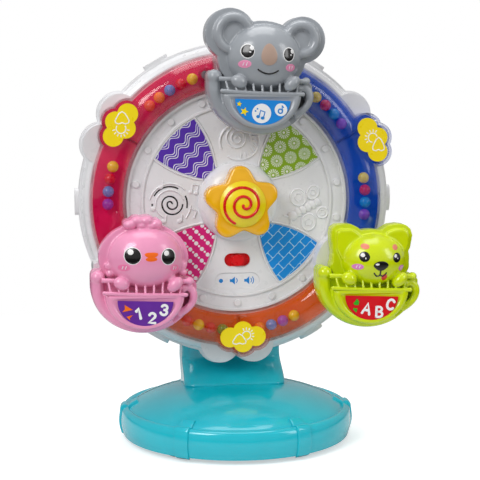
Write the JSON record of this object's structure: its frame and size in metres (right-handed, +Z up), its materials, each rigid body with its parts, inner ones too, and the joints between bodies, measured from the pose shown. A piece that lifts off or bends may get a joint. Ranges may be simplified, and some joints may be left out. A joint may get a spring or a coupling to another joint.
{
  "type": "animal sound spinner toy",
  "caption": "Toddler's spinner toy: a wheel with bead tracks and a star button turns on a round stand and carries swinging animal cups.",
  "frame": {"origin": "on the table under the centre of the round base, level with the undersides of the feet", "axes": "+Z up, -Y towards the child in front of the wheel, +X to the right as seen from the front; the wheel's axle runs along +Y"},
  "size_m": [0.2177, 0.152, 0.276],
  "materials": {
    "turquoise": "smooth gloss",
    "white": "smooth gloss",
    "grey": "smooth gloss",
    "rosy": "smooth gloss",
    "lime": "smooth gloss",
    "clear_pink": "clear, glossy",
    "clear_blue": "clear, glossy",
    "clear_orange": "clear, glossy",
    "tray_pink": "satin",
    "tray_blue": "satin",
    "tray_orange": "satin",
    "beads": "gloss, several colours",
    "yellow": "smooth gloss",
    "star_yellow": "satin",
    "red": "satin",
    "panel_purple": "printed",
    "panel_green": "printed",
    "panel_blue": "printed",
    "panel_pink": "printed",
    "label_blue": "printed",
    "label_purple": "printed",
    "label_red": "printed",
    "steel": "plated",
    "weight": "plain",
    "rubber": "soft matt",
    "bush": "slippery, matt",
    "board": "lacquered",
    "black": "matt",
    "speaker": "pressed metal and paper",
    "cell": "wrapped metal can"
  },
  "bodies": {
    "stand": {"base_cover": "turquoise", "base_plate": "turquoise", "base_feet": "rubber", "column_front_shell": "turquoise", "column_rear_shell": "turquoise", "axle": "steel", "axle_washer": "steel", "stand_screws": "steel"},
    "wheel": {"wheel_front_shell": "white", "wheel_rear_shell": "white", "wheel_screws": "steel", "wheel_bush": "bush", "track_cover_pink": "clear_pink", "track_cover_blue": "clear_blue", "track_cover_orange": "clear_orange", "track_tray_pink": "tray_pink", "track_tray_blue": "tray_blue", "track_tray_orange": "tray_orange", "weather_labels": "yellow", "texture_panel_purple": "panel_purple", "texture_panel_green": "panel_green", "texture_panel_blue": "panel_blue", "texture_panel_pink": "panel_pink", "hub_dome": "white", "star_spring": "steel", "circuit_board": "board", "slide_switch": "black", "loudspeaker": "speaker", "batteries": "cell", "battery_contacts": "steel", "battery_box": "white", "battery_door": "white", "carriage_pins": "steel", "pin_caps": "steel"},
    "star": {"star_button": "yellow", "star_disc": "star_yellow", "star_retainer": "black"},
    "volume_knob": {"switch_knob": "red"},
    "beads_pink_low_row": {"beads_pink_low": "beads"},
    "beads_pink_high_row": {"beads_pink_high": "beads"},
    "beads_blue_high_row": {"beads_blue_high": "beads"},
    "beads_blue_low_row": {"beads_blue_low": "beads"},
    "beads_orange_right_row": {"beads_orange_right": "beads"},
    "beads_orange_left_row": {"beads_orange_left": "beads"},
    "koala_carriage": {"koala_rear_shell": "grey", "koala_cup": "grey", "koala_head": "grey", "koala_label": "label_blue", "koala_ballast": "weight"},
    "chick_carriage": {"chick_rear_shell": "rosy", "chick_cup": "rosy", "chick_head": "rosy", "chick_label": "label_purple", "chick_ballast": "weight"},
    "dog_carriage": {"dog_rear_shell": "lime", "dog_cup": "lime", "dog_head": "lime", "dog_label": "label_red", "dog_ballast": "weight"}
  },
  "joints": [
    {"name": "wheel_spin", "type": "hinge", "parent": "stand", "child": "wheel", "pos_m": [0, 0, 0.1545], "axis": [0, 1, 0], "continuous": true},
    {"name": "star_press", "type": "slide", "parent": "wheel", "child": "star", "axis": [0, 1, 0], "range_m": [0, 0.003], "stiffness_N_per_m": 400, "springref_m": -0.002},
    {"name": "volume_slide", "type": "slide", "parent": "wheel", "child": "volume_knob", "axis": [1, 0, 0], "range_m": [-0.0042, 0.0042]},
    {"name": "koala_swing", "type": "hinge", "parent": "wheel", "child": "koala_carriage", "pos_m": [0, 0, 0.2365], "axis": [0, 1, 0], "continuous": true},
    {"name": "chick_swing", "type": "hinge", "parent": "wheel", "child": "chick_carriage", "pos_m": [-0.07101, 0, 0.1135], "axis": [0, 1, 0], "continuous": true},
    {"name": "dog_swing", "type": "hinge", "parent": "wheel", "child": "dog_carriage", "pos_m": [0.07101, 0, 0.1135], "axis": [0, 1, 0], "continuous": true},
    {"name": "pink_low_roll", "type": "hinge", "parent": "wheel", "child": "beads_pink_low_row", "pos_m": [0, 0, 0.1545], "axis": [0, 1, 0], "range_deg": [-9.1, 10.3]},
    {"name": "pink_high_roll", "type": "hinge", "parent": "wheel", "child": "beads_pink_high_row", "pos_m": [0, 0, 0.1545], "axis": [0, 1, 0], "range_deg": [-13.8, 0]},
    {"name": "blue_high_roll", "type": "hinge", "parent": "wheel", "child": "beads_blue_high_row", "pos_m": [0, 0, 0.1545], "axis": [0, 1, 0], "range_deg": [-16.5, 2.9]},
    {"name": "blue_low_roll", "type": "hinge", "parent": "wheel", "child": "beads_blue_low_row", "pos_m": [0, 0, 0.1545], "axis": [0, 1, 0], "range_deg": [-16.5, 2.9]},
    {"name": "orange_right_roll", "type": "hinge", "parent": "wheel", "child": "beads_orange_right_row", "pos_m": [0, 0, 0.1545], "axis": [0, 1, 0], "range_deg": [-13.4, 6]},
    {"name": "orange_left_roll", "type": "hinge", "parent": "wheel", "child": "beads_orange_left_row", "pos_m": [0, 0, 0.1545], "axis": [0, 1, 0], "range_deg": [-3.7, 15.7]}
  ],
  "couplings": [
    {"joint": "koala_swing", "follows": "wheel_spin", "ratio": -1},
    {"joint": "chick_swing", "follows": "wheel_spin", "ratio": -1},
    {"joint": "dog_swing", "follows": "wheel_spin", "ratio": -1}
  ]
}
